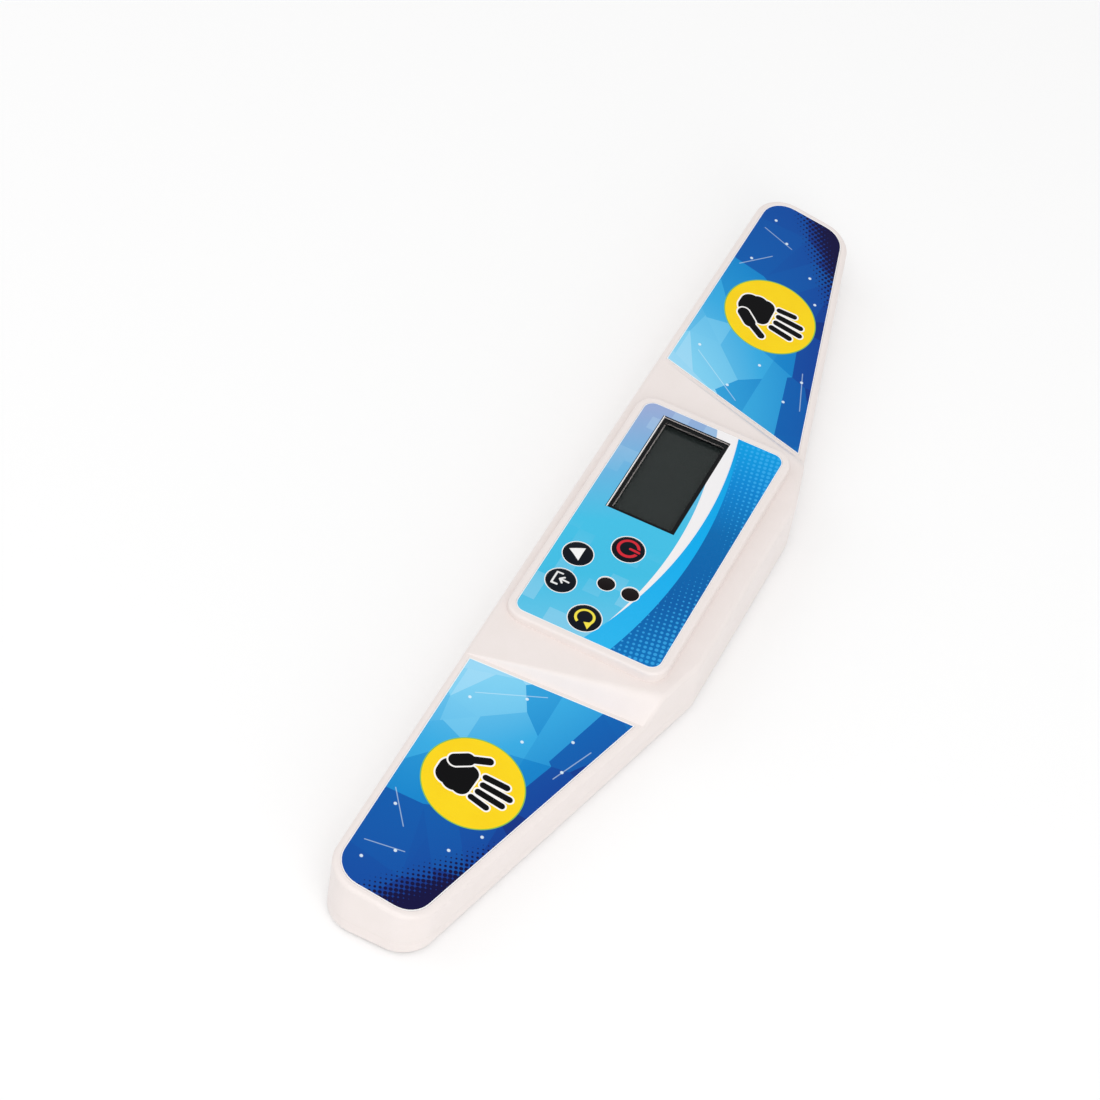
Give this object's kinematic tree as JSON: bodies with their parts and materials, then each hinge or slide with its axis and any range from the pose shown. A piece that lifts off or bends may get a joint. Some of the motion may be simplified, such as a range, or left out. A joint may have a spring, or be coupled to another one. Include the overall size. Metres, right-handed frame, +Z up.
{
  "type": "speed cube timer",
  "caption": "Long two-handed stopwatch with a raised display and key panel between two sloping touch pads, and a hinged battery door underneath.",
  "frame": {"origin": "on the table under the middle of the case's bounding box", "axes": "+X to the user's right along the case, +Y away from the user, +Z up"},
  "size_m": [0.27, 0.0528, 0.022],
  "materials": {
    "case_shell": "satin gloss, warm white",
    "foam": "soft closed-cell foam",
    "panel_print": "printed, satin gloss",
    "pad_print": "printed, glossy",
    "copper": "bare copper foil",
    "red_wire": "insulation",
    "black_wire": "insulation",
    "grey_wire": "insulation",
    "display_lens": "clear, glossy",
    "display_glass": "dark, switched off",
    "white_plastic": "moulded",
    "strip_rubber": "soft",
    "circuit_board": "solder resist",
    "chip_resin": "potting resin",
    "steel": "nickel plated",
    "key_black": "high gloss",
    "switch_plastic": "moulded",
    "lamp_window": "smoked, glossy",
    "lamp_resin": "tinted resin",
    "battery_can": "printed sleeve",
    "contact_metal": "nickel plated",
    "foot_rubber": "matte"
  },
  "bodies": {
    "case": {"top_shell": "case_shell", "bottom_shell": "case_shell", "panel_label": "panel_print", "pad_sticker_left": "pad_print", "pad_sticker_right": "pad_print", "touch_plate_left": "copper", "touch_plate_right": "copper", "touch_lead_left": "red_wire", "touch_lead_right": "red_wire", "lead_positive": "red_wire", "lead_negative": "black_wire", "jack_leads": "grey_wire", "display_lens": "display_lens", "display_glass": "display_glass", "display_frame": "white_plastic", "contact_strip": "strip_rubber", "main_board": "circuit_board", "board_chip": "chip_resin", "board_crystal": "steel", "case_screws": "steel", "board_screws": "steel", "jack_sleeve": "steel", "battery_spring_near": "steel", "battery_spring_far": "steel", "switch_power": "switch_plastic", "switch_up": "switch_plastic", "switch_save": "switch_plastic", "switch_reset": "switch_plastic", "jack_body": "switch_plastic", "lamp_window_near": "lamp_window", "lamp_window_far": "lamp_window", "lamp_near": "lamp_resin", "lamp_far": "lamp_resin", "battery_near": "battery_can", "battery_far": "battery_can", "contact_bridge": "contact_metal", "contact_positive": "contact_metal", "contact_negative": "contact_metal", "foot_tip_left": "foot_rubber", "foot_tip_right": "foot_rubber", "foot_far_left": "foot_rubber", "foot_far_right": "foot_rubber"},
    "key_power_body": {"key_power": "key_black", "plunger_power": "switch_plastic"},
    "key_up_body": {"key_up": "key_black", "plunger_up": "switch_plastic"},
    "key_save_body": {"key_save": "key_black", "plunger_save": "switch_plastic"},
    "key_reset_body": {"key_reset": "key_black", "plunger_reset": "switch_plastic"},
    "door_body": {"battery_door": "case_shell", "battery_pad": "foam"}
  },
  "joints": [
    {"name": "power_press", "type": "slide", "parent": "case", "child": "key_power_body", "axis": [0, 0, -1], "range_m": [0, 0.0004], "stiffness_N_per_m": 2500},
    {"name": "up_press", "type": "slide", "parent": "case", "child": "key_up_body", "axis": [0, 0, -1], "range_m": [0, 0.0004], "stiffness_N_per_m": 2500},
    {"name": "save_press", "type": "slide", "parent": "case", "child": "key_save_body", "axis": [0, 0, -1], "range_m": [0, 0.0004], "stiffness_N_per_m": 2500},
    {"name": "reset_press", "type": "slide", "parent": "case", "child": "key_reset_body", "axis": [0, 0, -1], "range_m": [0, 0.0004], "stiffness_N_per_m": 2500},
    {"name": "battery_door_hinge", "type": "hinge", "parent": "case", "child": "door_body", "pos_m": [0, -0.0126, 0.0015], "axis": [-1, 0, 0], "range_deg": [0, 90]}
  ]
}
